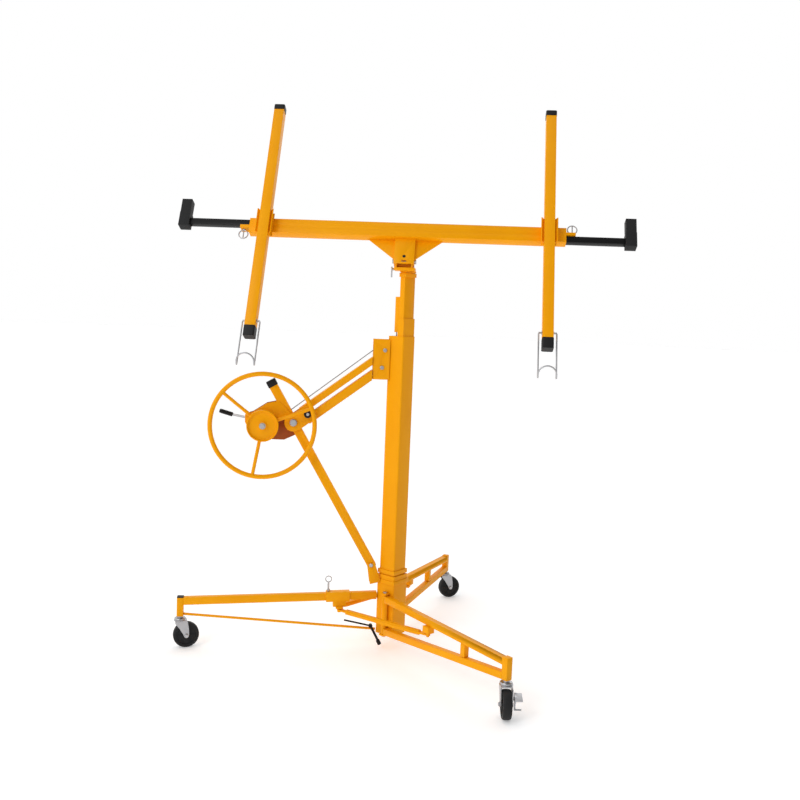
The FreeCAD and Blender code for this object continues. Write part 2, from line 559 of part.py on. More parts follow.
az = bzz + bd / 2 + 0.3
aside = S("arm_side")
for side, name in ((-1, "left"), (1, "right")):
    cx = side * S("arm_x")
    base = az + 4 + aside / 2
    low, high = by - S("arm_down"), by + S("arm_up")
    arm = tube("arm_stock_" + name, aside, aside, S("tube_wall"), (cx, low + 42, base),
               (cx, high - 24, base), up=Z)
    arm = cut("arm_drilled_" + name, arm,
              cyl("hook_hole_" + name, 4.0, (cx - 40, low + 66, base), (cx + 40, low + 66, base)))
    saddle = [box("saddle_plate", (58.0, 100.0, 4.0), (cx, by, az + 2))]
    for s in (-1, 1):
        saddle.append(box("saddle_wall", (3.4, 100.0, 26.0), (cx + s * 21.9, by, az + 15)))
        saddle.append(box("saddle_flare", (3.0, 100.0, 16.0), (cx + s * 26.6, by, az + 33),
                          Rot(Y, s * 32)))
    saddle.append(cyl("saddle_pivot", 8.0, (cx, by, az - 3.5), (cx, by, az + 2)))
    node("crossarm_" + name, group("crossarm_set", arm, fuse("saddle", *saddle)), CRADLE)
    caps = [box("arm_cap", (43.0, 42.0, 43.0), (cx, low + 21, base)),
            box("arm_cap", (43.0, 24.0, 43.0), (cx, high - 12, base))]
    node("crossarm_caps_" + name, group("caps_set", *caps), CRADLE)
    # wire panel hook pinned through the arm
    hw, leg, r = S("hook_half"), S("hook_leg"), S("hook_wire")
    hy0, back = low + 66, Vec(0, 0.78, 0.62)
    tip = hy0 - leg
    rise = 16.0
    pieces = [cyl("hook_pin", 3.92, (cx - hw, hy0, base), (cx + hw, hy0, base))]
    for s in (-1, 1):
        pts = [Vec(cx + s * hw, hy0, base), Vec(cx + s * hw, tip, base)]
        pts.append(pts[1] + back * rise)
        pieces += wire("hook_side", r, pts)
        pieces.append(ball("hook_corner", r + 1.0, pts[0]))
    bow = Vec(cx, tip, base) + back * rise
    pieces.append(ring("hook_bow", hw, r, bow, Rot(X, back, X.cross(back), "XYZ"), 180.0))
    node("panel_hook_" + name, fuse("hook_body", *pieces), CRADLE)
    # outrigger: left bar in the upper half of the crossbar, right bar in the lower
    oy = by - side * 13.6
    out = side * S("outrigger_" + name)
    rod = tube("outrigger_stock_" + name, S("outrigger_side"), S("outrigger_side"), 2.0,
               (min(out, -side * 5), oy, bzz), (max(out, -side * 5), oy, bzz), up=Z)
    node("outrigger_bar_" + name, rod, CRADLE)
    ox = out + side * 21
    bracket = [
        box("outrigger_shoe", (42.0, 60.0, 40.0), (ox, oy + 4, bzz + 3)),
        box("outrigger_pad", (40.0, 64.0, 36.0), (ox, oy + 60, bzz + 5)),
    ]
    node("outrigger_end_" + name, fuse("outrigger_end_body", *bracket), CRADLE)
    # ring screw that clamps the bar
    sx, edge = side * SCREW_X, oy + side * S("outrigger_side") / 2
    a, b = edge + side * 0.4, edge + side * 16.5
    screw = fuse("ring_screw_body", cyl("screw_shank", 4.0, (sx, a, bzz), (sx, b, bzz)),
                 cyl("screw_collar", 7.0, (sx, edge + side * 12.9, bzz), (sx, b, bzz)),
                 cyl("screw_stem", 2.4, (sx, b, bzz), (sx, b + side * 36, bzz)),
                 ring("screw_ring", 18.0, 2.4, (sx, b + side * 18, bzz), Rot()))
    node("ring_screw_" + name, screw, CRADLE)

latch = [box("latch_arm", (5.0, 12.0, 34.0), (-50, ty + 30, 1516)),
         cyl("latch_eye", 10.0, (-52.5, ty + 30, 1531), (-47.5, ty + 30, 1531)),
         cyl("latch_pin", 4.95, (-48, ty + 30, 1531), (-33.4, ty + 30, 1531))]
node("tilt_latch", fuse("tilt_latch_body", *latch), HEAD)

# ---------------------------------------------------------------- front legs, in leg frames
fa = math.radians(S("front_angle"))
LEG = Vec(S("front_reach") * math.cos(fa) + hx, S("front_reach") * math.sin(fa) - hy, 0)
reach = LEG.Length
leg_angle = math.degrees(math.atan2(LEG.y, LEG.x))
LINK_Z = 161.0
rs = S("rail_side")
for side, name in ((-1, "front"), (1, "back")):
    place = Pla(Vec(-hx, side * hy, 0), Rot(Z, side * leg_angle))
    zt = lambda s: 217.0 + (191.5 - 217.0) * s / (reach - 12.5)
    zb = lambda s: 84.0 + (140.5 - 84.0) * s / (reach - 12.5)
    barrel = cut("leg_barrel", cyl("leg_barrel_skin", 12.0, (0, 0, 72.4), (0, 0, 233.6)),
                 cyl("leg_barrel_bore", 6.0, (0, 0, 60), (0, 0, 250)))
    clear = 12.2
    top = sloped("leg_top_" + name, rs, rs, S("tube_wall"), clear, zt(0), reach - 12.5,
                 zt(reach - 12.5))
    low = sloped("leg_low_" + name, rs, rs, S("tube_wall"), clear, zb(0), reach - 12.5,
                 zb(reach - 12.5))
    post = tube("leg_post_" + name, rs, rs, S("tube_wall"), (reach, 0, S("post_bottom")),
                (reach, 0, S("post_top")), up=X)
    xb = reach * 0.69
    b0, b1 = zb(xb) + rs / 2 + 1.6, zt(xb) - rs / 2 - 1.2
    brace = box("leg_brace", (22.0, 22.0, b1 - b0), (xb, 0, (b0 + b1) / 2))
    xs = S("link_station")
    t0 = zt(xs) - rs / 2 - 1.0
    tab = box("leg_tab", (34.0, 30.0, t0 - (LINK_Z + 6.5)),
              (xs, side * 10.0, (t0 + LINK_Z + 6.5) / 2))
    cap = box("leg_cap", (25.0, 25.0, 4.0), (reach, 0, S("post_top") + 2.1))
    node("leg_%s" % name, group("leg_set", barrel, top, low, post, brace, tab, cap), place)

# ---------------------------------------------------------------- collar and links
cx = -S("collar_x")
slope = math.degrees(math.atan2(REAR1[1] - REAR0[1], REAR1[0] - REAR0[0]))
tilt = Rot(Y, -(slope - 180) if slope > 90 else -slope)
dirr = Vec(REAR0[0] - REAR1[0], 0, REAR0[1] - REAR1[1]).normalize()
mid = Vec(cx - 7, 0, rail_z(cx - 7))
sleeve = cut("collar_sleeve",
             tube("collar_stock", 34.2, 39.2, 4.2, mid - dirr * 48, mid + dirr * 48),
             cyl("collar_pin_hole", 4.1, (cx - 46, 0, rail_z(cx - 46) + 5),
                 (cx - 46, 0, rail_z(cx - 46) + 40)))
block = box("collar_block", (52.0, 30.0, 22.0), (cx, 0, 181.0))
yoke_plate = box("collar_plate", (30.0, 66.0, 5.0), (cx, 0, 170.0))
pieces = [sleeve, block, yoke_plate]
LP = 23.0
for side in (-1, 1):
    pieces.append(cyl("collar_stud", 5.0, (cx, side * LP, 156.6), (cx, side * LP, 168)))
    pieces.append(cyl("collar_stud_head", 8.0, (cx, side * LP, 152.6), (cx, side * LP, 157.6)))
node("fold_collar", fuse("fold_collar_body", *pieces))
pz = rail_z(cx - 46) + S("rear_rail_height") / 2 + 0.8
pin = fuse("collar_pin_body", cyl("collar_pin_shank", 4.0, (cx - 46, 0, pz), (cx - 46, 0, pz + 46)),
           ring("collar_pin_ring", 12.0, 2.0, (cx - 46, 0, pz + 56), Rot(X, 90)),
           cyl("collar_pin_step", 7.0, (cx - 46, 0, pz + 8), (cx - 46, 0, pz + 14)))
node("collar_pin", pin)
for side, name in ((-1, "front"), (1, "back")):
    place = Pla(Vec(-hx, side * hy, 0), Rot(Z, side * leg_angle))
    end = place.multVec(Vec(S("link_station"), side * 12.0, 0))
    a = Vec(cx, side * LP, LINK_Z)
    b = Vec(end.x, end.y, LINK_Z)
    d = (b - a).normalize()
    rot = Rot(Z, math.degrees(math.atan2(d.y, d.x)))
    bar = fuse("link_bar", box("link_strap", ((b - a).Length, 20.0, 6.0), (a + b) * 0.5, rot),
               box("link_tube", ((b - a).Length - 72, 16.0, 17.0), (a + b) * 0.5 - Z * 0.5, rot),
               cyl("link_eye", 10.0, a - Z * 3, a + Z * 3),
               cyl("link_eye", 10.0, b - Z * 3, b + Z * 3),
               cyl("link_bolt", 6.0, b - Z * 9, b + Z * 6))
    bar = cut("link_drilled", bar, cyl("link_hole", 5.06, a - Z * 9, a + Z * 9))
    node("fold_link_%s" % name, bar)

# ---------------------------------------------------------------- casters
R, W, T = S("wheel_radius"), S("wheel_width"), S("caster_trail")
pb = S("post_bottom")
casters = (
    ("rear", Vec(-rr, 0, 0), 12.0),
    ("front", Vec(S("front_reach") * math.cos(fa), -S("front_reach") * math.sin(fa), 0), -96.0),
    ("back", Vec(S("front_reach") * math.cos(fa), S("front_reach") * math.sin(fa), 0), 14.0),
)
for name, at, ang in casters:
    place = Pla(at, Rot(Z, ang))
    fork = [cyl("caster_race", 21.0, (0, 0, 112), (0, 0, 122)),
            cyl("caster_neck", 11.0, (0, 0, 120), (0, 0, pb - 0.4)),
            box("caster_crown", (50.0, 44.0, 5.0), (3, 0, 111.0)),
            cyl("caster_axle", "Sizes.axle_radius", (T, -26, R), (T, 26, R))]
    for s in (-1, 1):
        fork.append(taper("caster_leg", 26.0, 48.0, 70.0, 3.4, (T, s * 20.2, R - 8),
                          Rot(Vec(0, 1, 0), -14)))
        fork.append(cyl("caster_nut", 8.0, (T, s * 21, R), (T, s * 27, R)))
    node("caster_fork_" + name, fuse("caster_fork_body", *fork), place)
    tyre, tn = fresh("Part::Fillet", "caster_tyre")
    tread = cyl("caster_tread", "Sizes.wheel_radius", (T, -W / 2, R), (T, W / 2, R))
    tyre.Base = tread
    tyre.Edges = [(1, 5.0, 5.0), (3, 5.0, 5.0)]
    wheel = cut("caster_wheel_" + name + "_cut", tyre,
                cyl("caster_bore", 4.05, (T, -W, R), (T, W, R)))
    node("caster_wheel_" + name, wheel, place)
    if name == "front":
        pedal = fuse("brake_pedal_body",
                     box("pedal_plate", (40.0, 26.0, 4.0), (40, 38, 84), Rot(Y, 20)),
                     box("pedal_arm", (24.0, 6.0, 22.0), (34, 27.4, 75)),
                     cyl("pedal_pivot", 6.0, (30, 22.6, 75), (30, 32.0, 75)),
                     box("pedal_tab", (16.0, 22.0, 4.0), (40, 38, 40), Rot(Y, -30)),
                     box("pedal_link", (8.0, 5.0, 40.0), (38, 27.0, 58)))
        node("caster_brake", pedal, place)

# foot latch beside the socket
LT = Vec(-84, -26, 96)
latch = fuse("foot_latch_body",
             cyl("foot_latch_eye", 8.0, LT - Y * 6, LT + Y * 6),
             cyl("foot_latch_rod", 3.5, LT, LT + Vec(-108, 0, 24)),
             cyl("foot_latch_leg", 5.0, LT, LT + Vec(36, 0, -68)),
             cyl("foot_latch_tip", 8.0, LT + Vec(31, 0, -60), LT + Vec(40, 0, -77)))
node("foot_latch", latch)

# ---------------------------------------------------------------- check and write
doc.recompute()
os.makedirs("parts", exist_ok=True)
bad = []
for obj in doc.Objects:
    if "Invalid" in obj.State or "Error" in obj.State:
        bad.append(obj.Name)
for label, obj in NODES:
    shape = obj.Shape
    if shape.isNull() or not shape.isValid() or not shape.Solids:
        bad.append(label)
if bad:
    raise SystemExit("broken: " + ", ".join(bad))
for label, obj in NODES:
    obj.Shape.exportStep("parts/%s.step" % label)
print(len(NODES), "nodes written")
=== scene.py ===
import json
import math
import bmesh
import bpy
from mathutils import Matrix, Vector


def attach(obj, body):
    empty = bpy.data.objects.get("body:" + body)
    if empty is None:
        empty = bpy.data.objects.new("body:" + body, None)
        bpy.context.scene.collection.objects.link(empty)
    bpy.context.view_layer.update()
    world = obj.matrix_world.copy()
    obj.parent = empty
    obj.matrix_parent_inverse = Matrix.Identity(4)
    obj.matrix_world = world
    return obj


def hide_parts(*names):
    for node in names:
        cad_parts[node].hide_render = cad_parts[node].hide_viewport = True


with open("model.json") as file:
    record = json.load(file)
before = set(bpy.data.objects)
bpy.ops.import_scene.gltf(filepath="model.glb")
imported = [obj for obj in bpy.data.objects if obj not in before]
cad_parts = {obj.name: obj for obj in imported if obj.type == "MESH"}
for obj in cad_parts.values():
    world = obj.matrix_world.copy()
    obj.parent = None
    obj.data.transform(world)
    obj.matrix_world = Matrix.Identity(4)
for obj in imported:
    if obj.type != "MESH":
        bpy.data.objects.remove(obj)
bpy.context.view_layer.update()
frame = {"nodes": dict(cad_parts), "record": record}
NODES = frame["nodes"]

# ------------------------------------------------------------------ places (mm in, metres out)
SHIFT = 14.0                                        # mast axis, +Y of the origin
PIN = Vector((13.435, -13.435 + SHIFT, 0))          # swivel axis of the head
TURN = Matrix.Rotation(math.radians(-11), 3, "Z")   # head's rest turn
TILT = Matrix.Rotation(math.radians(65), 3, "X")    # cradle's rest tilt
TIP = Vector((0, -60 + SHIFT, 1560))                # tilt axis with the head straight
REAR_REACH, FRONT_REACH = 843, 730                  # leg ends from the mast axis
FRONT_ANGLE = math.radians(63)
ARM_X, BAR_Y, SCREW_X = 549.0, 115, 640.0           # crossarms, bar and ring screws, cradle frame
EDGE = Matrix.Rotation(math.radians(45), 3, "Z")


def B(x, y, z):
    """Point of the base and mast."""
    return Vector((x, y + SHIFT, z)) / 1000


def C(x, y, z):
    """Point of the cradle in its level frame."""
    v = TIP + TILT @ Vector((x, y, z)) - PIN
    return (PIN + TURN @ v) / 1000


def CV(x, y, z):
    """Direction in the cradle's level frame."""
    return TURN @ (TILT @ Vector((x, y, z)))


UPZ = Vector((0, 0, 1))
YB = Vector((0, 1, 0))


# ------------------------------------------------------------------ materials
def shader(name, colour, rough=0.4, metal=0.0, coat=0.0, grain=0.0, scale=300.0, bump=0.0,
           dust=None, spec=0.5, stretch=None):
    """Principled material with procedural grain, small bumps and a little dust."""
    m = bpy.data.materials.new(name)
    m.use_nodes = True
    nt = m.node_tree
    p = nt.nodes["Principled BSDF"]
    p.inputs["Base Color"].default_value = (*colour, 1)
    p.inputs["Roughness"].default_value = rough
    p.inputs["Metallic"].default_value = metal
    p.inputs["Coat Weight"].default_value = coat
    p.inputs["Coat Roughness"].default_value = 0.12
    p.inputs["Specular IOR Level"].default_value = spec
    tc = nt.nodes.new("ShaderNodeTexCoord")
    source = tc.outputs["Object"]
    if stretch:
        mp = nt.nodes.new("ShaderNodeMapping")
        mp.inputs["Scale"].default_value = stretch
        nt.links.new(source, mp.inputs["Vector"])
        source = mp.outputs["Vector"]
    no = nt.nodes.new("ShaderNodeTexNoise")
    no.inputs["Scale"].default_value = scale
    no.inputs["Detail"].default_value = 4
    nt.links.new(source, no.inputs["Vector"])
    if grain:
        mr = nt.nodes.new("ShaderNodeMapRange")
        mr.inputs["To Min"].default_value = max(0.02, rough - grain)
        mr.inputs["To Max"].default_value = min(1.0, rough + grain)
        nt.links.new(no.outputs["Fac"], mr.inputs["Value"])
        nt.links.new(mr.outputs["Result"], p.inputs["Roughness"])
    if bump:
        bp = nt.nodes.new("ShaderNodeBump")
        bp.inputs["Strength"].default_value = bump
        bp.inputs["Distance"].default_value = 0.0004
        nt.links.new(no.outputs["Fac"], bp.inputs["Height"])
        nt.links.new(bp.outputs["Normal"], p.inputs["Normal"])
    if dust:
        big = nt.nodes.new("ShaderNodeTexNoise")
        big.inputs["Scale"].default_value = 9.0
        big.inputs["Detail"].default_value = 6
        nt.links.new(tc.outputs["Object"], big.inputs["Vector"])
        ramp = nt.nodes.new("ShaderNodeMapRange")
        ramp.inputs["From Min"].default_value = 0.35
        ramp.inputs["From Max"].default_value = 0.75
        nt.links.new(big.outputs["Fac"], ramp.inputs["Value"])
        mix = nt.nodes.new("ShaderNodeMix")
        mix.data_type = "RGBA"
        mix.inputs["A"].default_value = (*colour, 1)
        mix.inputs["B"].default_value = (*dust, 1)
        nt.links.new(ramp.outputs["Result"], mix.inputs["Factor"])
        nt.links.new(mix.outputs["Result"], p.inputs["Base Color"])
    return m


YELLOW = shader("yellow_paint", (0.93, 0.385, 0.0012), 0.40, coat=0.02, grain=0.05, scale=420,
                bump=0.07, dust=(0.90, 0.355, 0.0012), spec=0.09)
BLACK = shader("black_paint", (0.009, 0.009, 0.0095), 0.36, coat=0.02, grain=0.08, scale=350,
               bump=0.12, spec=0.14)
# painted shade: a dark orange-brown copy of the yellow paint for surfaces that lie in shadow
YELLOW_IN_PAINTED_SHADE = shader("dark_paint", (0.36, 0.075, 0.002), 0.5, coat=0.05, grain=0.08, scale=260, bump=0.08,
              spec=0.25)
ZINC = shader("zinc", (0.50, 0.50, 0.51), 0.36, metal=1.0, grain=0.12, scale=60, bump=0.05,
              dust=(0.44, 0.44, 0.46))
CABLE = shader("cable_steel", (0.30, 0.30, 0.31), 0.42, metal=0.9, grain=0.1, scale=900, bump=0.6,
               stretch=(1, 1, 0.3))
PLASTIC = shader("black_plastic", (0.010, 0.010, 0.0105), 0.48, grain=0.08, scale=600, bump=0.15,
                 spec=0.25)
NYLON = shader("nylon", (0.03, 0.03, 0.032), 0.5, grain=0.06, scale=200, bump=0.05)
RUBBER = shader("rubber", (0.016, 0.016, 0.017), 0.62, grain=0.1, scale=500, bump=0.25,
                dust=(0.018, 0.018, 0.019), spec=0.2)
SLOTS = {"yellow_paint": YELLOW, "black_paint": BLACK, "dark_paint": YELLOW_IN_PAINTED_SHADE, "zinc": ZINC,
         "cable_steel": CABLE, "black_plastic": PLASTIC, "nylon": NYLON, "rubber": RUBBER}
SLOT_OF = {s["node"]: s["material_slot"] for s in frame["record"]["subparts"]}
BODY_OF = {n: b for b, ns in frame["record"]["behaviour"]["bodies"].items() for n in ns}


def dress(obj, slot):
    """Give an object the one material of its slot."""
    obj.data.materials.clear()
    obj.data.materials.append(SLOTS[slot])


for name, obj in NODES.items():
    dress(obj, SLOT_OF[name])


# ------------------------------------------------------------------ making pieces
def link(name, mesh, body, slot, smooth=35.0):
    """Put a mesh in the scene as a piece of one body."""
    obj = bpy.data.objects.new(name, mesh)
    bpy.context.scene.collection.objects.link(obj)
    dress(obj, slot)
    if smooth:
        mesh.shade_smooth()
        mesh.set_sharp_from_angle(angle=math.radians(smooth))
    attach(obj, body)
    return obj


def from_bm(name, bm, body, slot, smooth=35.0):
    """Close a bmesh and put it in the scene as a piece of one body."""
    bmesh.ops.recalc_face_normals(bm, faces=bm.faces)
    mesh = bpy.data.meshes.new(name)
    bm.to_mesh(mesh)
    bm.free()
    return link(name, mesh, body, slot, smooth)


def soften(node, width=0.0012, segments=2):
    """Copy of a CAD node with its sharp edges eased."""
    src = NODES[node]
    bm = bmesh.new()
    bm.from_mesh(src.data)
    bmesh.ops.remove_doubles(bm, verts=bm.verts, dist=2e-5)
    bmesh.ops.dissolve_limit(bm, angle_limit=math.radians(1.0), verts=bm.verts, edges=bm.edges)
    mesh = bpy.data.meshes.new("v_" + node)
    bm.to_mesh(mesh)
    bm.free()
    obj = bpy.data.objects.new("v_" + node, mesh)
    bpy.context.scene.collection.objects.link(obj)
    mod = obj.modifiers.new("edge", "BEVEL")
    mod.width = width
    mod.segments = segments
    mod.limit_method = "ANGLE"
    mod.angle_limit = math.radians(32)
    mod.use_clamp_overlap = True
    mod.harden_normals = False
    deps = bpy.context.evaluated_depsgraph_get()
    flat = bpy.data.meshes.new_from_object(obj.evaluated_get(deps))
    bpy.data.objects.remove(obj)
    out = link("v_" + node, flat, BODY_OF[node], SLOT_OF[node], 34)
    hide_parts(node)
    return out


def profile(w, h, r, n=5):
    """Rounded rectangle about the origin."""
    pts = []
    for k, (sx, sy) in enumerate(((1, 1), (-1, 1), (-1, -1), (1, -1))):
        for i in range(n + 1):
            a = math.radians(90 * k + 90 * i / n)
            pts.append((sx * (w / 2 - r) + r * math.cos(a), sy * (h / 2 - r) + r * math.sin(a)))
    return pts


def rtube(bm, w, h, r, wall, a, b, up):
    """Rounded tube from a to b (metres), h along up; open ended when wall is given."""
    d = (b - a).normalized()
    side = up.cross(d).normalized()
    top = d.cross(side)
    rings = []
    outer = profile(w, h, r)
    sets = [outer]
    if wall:
        sets.append(profile(w - 2 * wall, h - 2 * wall, max(r - wall, wall * 0.3)))
    for pts in sets:
        for end in (a, b):
            rings.append([bm.verts.new(end + side * x + top * y) for x, y in pts])
    n = len(outer)
    if wall:
        for i in range(n):
            j = (i + 1) % n
            bm.faces.new((rings[0][i], rings[0][j], rings[1][j], rings[1][i]))
            bm.faces.new((rings[2][j], rings[2][i], rings[3][i], rings[3][j]))
            bm.faces.new((rings[0][j], rings[0][i], rings[2][i], rings[2][j]))
            bm.faces.new((rings[1][i], rings[1][j], rings[3][j], rings[3][i]))
    else:
        for i in range(n):
            j = (i + 1) % n
            bm.faces.new((rings[0][i], rings[0][j], rings[1][j], rings[1][i]))
        bm.faces.new(list(reversed(rings[0])))
        bm.faces.new(rings[1])


def lathe(bm, pts, a, axis, n=64):
    """Turn (radius, along) points about an axis through a; closed profile."""
    axis = axis.normalized()
    side = axis.orthogonal().normalized()
    other = axis.cross(side)
    rings = []
    for r, z in pts:
        ring = []
        for i in range(n):
            t = 2 * math.pi * i / n
            ring.append(bm.verts.new(a + axis * z + side * (r * math.cos(t))
                                     + other * (r * math.sin(t))))
        rings.append(ring)
    for k in range(len(rings)):
        q = (k + 1) % len(rings)
        for i in range(n):
            j = (i + 1) % n
            bm.faces.new((rings[k][i], rings[k][j], rings[q][j], rings[q][i]))


def sweep(bm, pts, r, n=14, closed=False):
    """Round bar along a list of points."""
    count = len(pts)
    rings = []
    prev = None
    for i, p in enumerate(pts):
        a = pts[(i - 1) % count] if (closed or i > 0) else p
        b = pts[(i + 1) % count] if (closed or i < count - 1) else p
        t = (b - a).normalized()
        if prev is None:
            side = t.orthogonal().normalized()
        else:
            side = (prev - t * prev.dot(t)).normalized()
        prev = side
        other = t.cross(side)
        rings.append([bm.verts.new(p + side * (r * math.cos(2 * math.pi * k / n))
                                   + other * (r * math.sin(2 * math.pi * k / n))) for k in range(n)])
    for i in range(count if closed else count - 1):
        j = (i + 1) % count
        for k in range(n):
            m = (k + 1) % n
            bm.faces.new((rings[i][k], rings[i][m], rings[j][m], rings[j][k]))
    if not closed:
        bm.faces.new(list(reversed(rings[0])))
        bm.faces.new(rings[-1])


def round_path(points, radius, steps=6):
    """Replace each inner corner with an arc."""
    out = [points[0]]
    for i in range(1, len(points) - 1):
        p, a, b = points[i], points[i - 1], points[i + 1]
        u, v = (a - p).normalized(), (b - p).normalized()
        half = math.acos(max(-1, min(1, u.dot(v)))) / 2
        cut = min(radius / math.tan(half), 0.48 * (a - p).length, 0.48 * (b - p).length)
        s, e = p + u * cut, p + v * cut
        for k in range(steps + 1):
            t = k / steps
            out.append(s * (1 - t) ** 2 + p * (2 * t * (1 - t)) + e * t ** 2)
    out.append(points[-1])
    return out


def hexhead(bm, c, axis, across, tall):
    """Hexagon head standing on c along axis, with a small chamfer."""
    axis = axis.normalized()
    side = axis.orthogonal().normalized()
    other = axis.cross(side)
    r = across / 2 / math.cos(math.pi / 6)
    rows = []
    for rr, z in ((r, 0), (r, tall * 0.8), (r * 0.86, tall)):
        rows.append([bm.verts.new(c + axis * z + side * (rr * math.cos(i * math.pi / 3))
                                  + other * (rr * math.sin(i * math.pi / 3))) for i in range(6)])
    for k in range(2):
        for i in range(6):
            j = (i + 1) % 6
            bm.faces.new((rows[k][i], rows[k][j], rows[k + 1][j], rows[k + 1][i]))
    bm.faces.new(list(reversed(rows[0])))
    bm.faces.new(rows[-1])


def disc_bm(bm, r, t, c, axis, ease=0.0006, n=40):
    """Disc or pin of thickness t standing on c along axis, with eased edges."""
    lathe(bm, [(1e-5, 0), (r - ease, 0), (r, ease), (r, t - ease), (r - ease, t), (1e-5, t)], c,
          axis, n)


# ------------------------------------------------------------------ eased copies of CAD nodes
for node in ("leg_hinge_lugs", "winch_frame", "pulley_box", "strut_bracket",
             "second_mast_fittings", "head_bracket", "cradle_yoke", "tilt_latch", "base_caps",
             "fold_link_front", "fold_link_back", "caster_brake", "foot_latch", "third_mast",
             "winch_arm", "crossarm_left", "crossarm_right", "rear_leg", "leg_front", "leg_back",
             "fold_collar", "winch_strut", "crossbar", "winch_backplate"):
    soften(node, 0.0014 if node.startswith(("crossarm", "rear", "leg_f", "leg_b", "winch_s",
                                            "winch_a")) else 0.0009)
for node in ("outrigger_bar_left", "outrigger_bar_right"):
    soften(node, 0.0012)

# mast tubes with rolled corners
bm = bmesh.new()
rtube(bm, 0.076, 0.076, 0.006, 0.003, B(0, 0, 67), B(0, 0, 1270), EDGE @ YB)
tube = from_bm("v_outer_mast", bm, "base", "yellow_paint")
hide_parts("outer_mast")
bm = bmesh.new()
rtube(bm, 0.088, 0.088, 0.007, 0.005, B(0, 0, 61), B(0, 0, 307), EDGE @ YB)
rtube(bm, 0.078, 0.078, 0.004, 0, B(0, 0, 62), B(0, 0, 66), EDGE @ YB)
tube = from_bm("v_mast_socket", bm, "base", "yellow_paint")
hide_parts("mast_socket")

# ------------------------------------------------------------------ handwheel
W = B(-536, 0, 906)                 # drum axis
RIM, RIM_Y = 0.201, -0.062          # radius of the rim's centre line and its plane
bm = bmesh.new()
ringpts = [W + Vector((RIM * math.cos(t), RIM_Y, RIM * math.sin(t)))
           for t in [2 * math.pi * i / 128 for i in range(128)]]
sweep(bm, ringpts, 0.009, 20, closed=True)
for ang in (141.0, 260.0, 21.0):
    d = Vector((math.cos(math.radians(ang)), 0, math.sin(math.radians(ang))))
    path = [W + d * 0.016 + Vector((0, -0.048, 0)), W + d * 0.06 + Vector((0, -0.052, 0)),
            W + d * 0.13 + Vector((0, -0.06, 0)), W + d * 0.2 + Vector((0, RIM_Y, 0))]
    sweep(bm, round_path(path, 0.05), 0.0068, 16)
lathe(bm, [(0.0085, -0.036), (0.022, -0.036), (0.024, -0.038), (0.024, -0.063), (0.022, -0.065),
           (0.0085, -0.065)], W, YB, 48)
wheel = from_bm("v_handwheel", bm, "handwheel", "yellow_paint")
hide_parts("handwheel")
bm = bmesh.new()
lathe(bm, [(0.001, -0.066), (0.03, -0.066), (0.052, -0.065), (0.0595, -0.066), (0.0615, -0.068),
           (0.0615, -0.0765), (0.0600, -0.0780), (0.0578, -0.0778), (0.0562, -0.0760),
           (0.0548, -0.0700), (0.0520, -0.0682), (0.046, -0.068), (0.022, -0.0685), (0.016, -0.071),
           (0.0155, -0.0775), (0.001, -0.078)], W, YB, 96)
lathe(bm, [(0.024, -0.0375), (0.0595, -0.0375), (0.061, -0.0385), (0.061, -0.0395),
           (0.0595, -0.0405), (0.024, -0.0405)], W, YB, 96)
disc = from_bm("v_brake_disc", bm, "handwheel", "yellow_paint")
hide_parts("brake_disc")
bm = bmesh.new()
hexhead(bm, W + Vector((0, -0.0775, 0)), -YB, 0.019, 0.006)
disc_bm(bm, 0.0125, 0.0015, W + Vector((0, -0.0775, 0)), -YB)
from_bm("hub_nut", bm, "handwheel", "zinc")
# eased drum and the cable's turns on it
soften("winch_drum", 0.0008)
bm = bmesh.new()
turns, n = 5, 60
path = [W + Vector((0.0203 * math.cos(t), -0.0115 + 0.023 * t / (2 * math.pi * turns),
                    0.0203 * math.sin(t))) for t in [2 * math.pi * turns * i / (turns * n)
                                                     for i in range(turns * n + 1)]]
sweep(bm, path, 0.0019, 10)
coil = from_bm("v_drum_cable", bm, "handwheel", "cable_steel")
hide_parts("drum_cable")

# brake lever and its ribbed grip
soften("brake_lever", 0.0009)
L0 = B(-592, 0, 928)
a, b = L0 + Vector((-0.0628, 0, 0.0112)), L0 + Vector((-0.114, 0, 0.026))
d = (b - a).normalized()
prof = [(0.0045, 0.0), (0.0078, 0.0)]
length = (b - a).length
for i in range(9):
    z = 0.004 + i * (length - 0.01) / 9
    prof += [(0.0088, z), (0.0088, z + 0.0032), (0.0078, z + 0.0038)]
prof += [(0.0085, length - 0.003), (0.006, length), (0.001, length), (0.001, 0.0)]
bm = bmesh.new()
lathe(bm, prof, a, d, 32)
grip = from_bm("v_brake_grip", bm, "brake_lever", "black_plastic")
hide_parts("brake_grip")
soften("release_knob", 0.0035, 4)
arm_dir = Vector((1, 0, (1168 - 916) / (-82 + 418))).normalized()
arm_up = Vector((-arm_dir.z, 0, arm_dir.x))
K = B(-418, 0, 916)
bm = bmesh.new()
disc_bm(bm, 0.006, 0.0012, K + arm_dir * 0.066 - arm_up * 0.004 + Vector((0, -0.0458, 0)), -YB)
from_bm("knob_insert", bm, "release_knob", "zinc")

